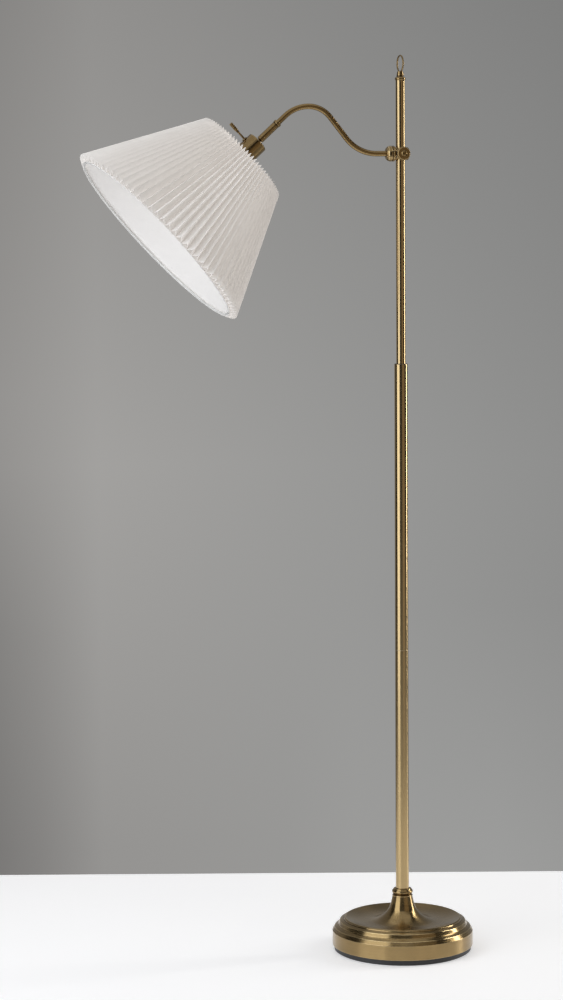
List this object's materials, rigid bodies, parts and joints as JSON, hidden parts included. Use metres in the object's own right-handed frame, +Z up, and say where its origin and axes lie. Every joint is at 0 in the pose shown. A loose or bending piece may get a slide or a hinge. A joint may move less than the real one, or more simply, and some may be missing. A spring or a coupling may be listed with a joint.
{
  "type": "floor lamp",
  "caption": "Telescopic brass floor lamp on a round weighted base, with an S-curved swivel arm, a switch key on the lamp holder and a knife-pleated empire shade.",
  "frame": {"origin": "centre of the underside of the floor pad, on the floor under the pole", "axes": "+Z up along the pole; the arm reaches out towards -X in the plane Y = 0 and the lock knob faces -Y"},
  "size_m": [0.672, 0.375, 1.55],
  "materials": {
    "antique_brass": "brushed antique brass under clear lacquer",
    "plain_brass": "bare stamped brass",
    "steel": "zinc-plated steel",
    "cast_iron": "rough black-painted casting",
    "white_wire": "white powder coat",
    "black_rubber": "matt",
    "black_plastic": "moulded, fine texture",
    "nylon": "natural nylon",
    "phenolic": "moulded black phenolic",
    "lead_insulation": "smooth insulation",
    "shade_liner": "smooth white styrene liner",
    "shade_fabric": "knife-pleated off-white woven fabric"
  },
  "bodies": {
    "base": {"floor_pad": "black_rubber", "base_tray": "black_plastic", "tray_screws": "steel", "base_weight": "cast_iron", "base_cover": "antique_brass", "cord_inlet_bush": "black_rubber", "tie_nipple": "steel", "nipple_nut": "steel", "nipple_washer": "steel", "spacer_tube": "steel", "neck_collar": "antique_brass", "pole_foot_insert": "steel", "base_lead": "lead_insulation", "lower_pole_bottom": "antique_brass", "pole_coupler": "steel", "lower_pole_top": "antique_brass", "guide_bush": "black_plastic"},
    "slider": {"pole_slider": "nylon"},
    "upper_mast": {"upper_pole": "antique_brass", "pole_end_plug": "steel", "slider_stop_lower": "steel", "slider_stop_upper": "steel", "upper_lead": "lead_insulation", "arm_hub": "antique_brass", "hub_end_plug": "antique_brass", "hub_grub_screw": "steel", "finial_collar": "antique_brass", "finial_loop": "antique_brass"},
    "lock_knob": {"lock_knob": "antique_brass", "lock_screw": "antique_brass"},
    "arm": {"arm_tube": "antique_brass", "arm_end_clip": "steel", "arm_washer": "black_plastic", "arm_drum": "antique_brass", "arm_lead": "lead_insulation", "arm_sleeve": "antique_brass", "ball_seat": "nylon", "ball_retainer": "antique_brass"},
    "swivel": {"swivel_ball": "antique_brass", "swivel_nut": "steel"},
    "head": {"socket_cap": "antique_brass", "switch_body": "phenolic", "switch_bushing": "antique_brass", "socket_body": "phenolic", "socket_insulator": "phenolic", "screw_shell": "plain_brass", "centre_contact": "plain_brass", "socket_ring_nut": "phenolic", "shade_spider": "white_wire", "shade_bottom_ring": "white_wire", "shade_liner": "shade_liner", "shade_cover": "shade_fabric"},
    "switch_key": {"switch_spindle": "antique_brass", "switch_key": "antique_brass"}
  },
  "joints": [
    {"name": "pole_lift", "type": "slide", "parent": "base", "child": "slider", "axis": [0, 0, 1], "range_m": [-0.3, 0.075]},
    {"name": "pole_swivel", "type": "hinge", "parent": "slider", "child": "upper_mast", "pos_m": [0, 0, 1], "axis": [0, 0, 1], "range_deg": [-170, 170]},
    {"name": "lock_knob_turn", "type": "hinge", "parent": "upper_mast", "child": "lock_knob", "pos_m": [0, -0.02, 1.383], "axis": [0, -1, 0], "range_deg": [0, 180]},
    {"name": "arm_roll", "type": "hinge", "parent": "upper_mast", "child": "arm", "pos_m": [-0.015, 0, 1.383], "axis": [-1, 0, 0], "range_deg": [-90, 90]},
    {"name": "head_tilt", "type": "hinge", "parent": "arm", "child": "swivel", "pos_m": [-0.2437, 0, 1.40814], "axis": [0, 1, 0], "range_deg": [-20, 20]},
    {"name": "head_turn", "type": "hinge", "parent": "swivel", "child": "head", "pos_m": [-0.25107, 0, 1.40138], "axis": [-0.7373, 0, -0.6756], "range_deg": [-160, 160]},
    {"name": "switch_turn", "type": "hinge", "parent": "head", "child": "switch_key", "pos_m": [-0.27343, 0, 1.40802], "axis": [-0.6756, 0, 0.7373], "continuous": true}
  ]
}
